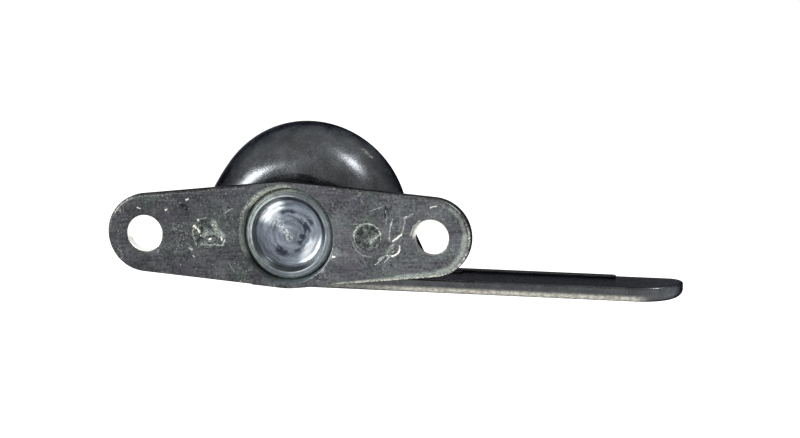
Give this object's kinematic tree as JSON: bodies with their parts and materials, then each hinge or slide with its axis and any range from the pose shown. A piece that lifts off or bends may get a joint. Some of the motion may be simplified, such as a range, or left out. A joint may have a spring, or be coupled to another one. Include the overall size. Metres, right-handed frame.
{
  "type": "sash lock",
  "caption": "Crescent sash lock of blackened steel: a lozenge base plate carries a dished crescent with a long lever on a spun pivot rivet.",
  "frame": {"origin": "on the pivot axis in the plane of the mounting face, midway between the screw holes", "axes": "+X along the base plate towards the lever's tip at rest, +Y from the mounting face into the room, +Z to the side on which the crescent reaches the keeper"},
  "size_m": [0.0968, 0.0157, 0.0289],
  "materials": {
    "plate_steel": "blackened, worn and pitted",
    "pin_steel": "blackened, peened ends rough",
    "rivet_steel": "blackened, spun bright in the dish",
    "washer_steel": "plain, oiled",
    "lever_steel": "semi-gloss black oxide",
    "spring_steel": "blued spring steel"
  },
  "bodies": {
    "base": {"base_plate": "plate_steel", "stop_pins": "pin_steel", "pivot_rivet": "rivet_steel", "thrust_washer": "washer_steel", "head_washer": "washer_steel", "spring_washer": "spring_steel"},
    "lever": {"crescent_lever": "lever_steel"}
  },
  "joints": [
    {"name": "lever_turn", "type": "hinge", "parent": "base", "child": "lever", "pos_m": [0, 0, 0], "axis": [0, 1, 0], "range_deg": [0, 153]}
  ]
}
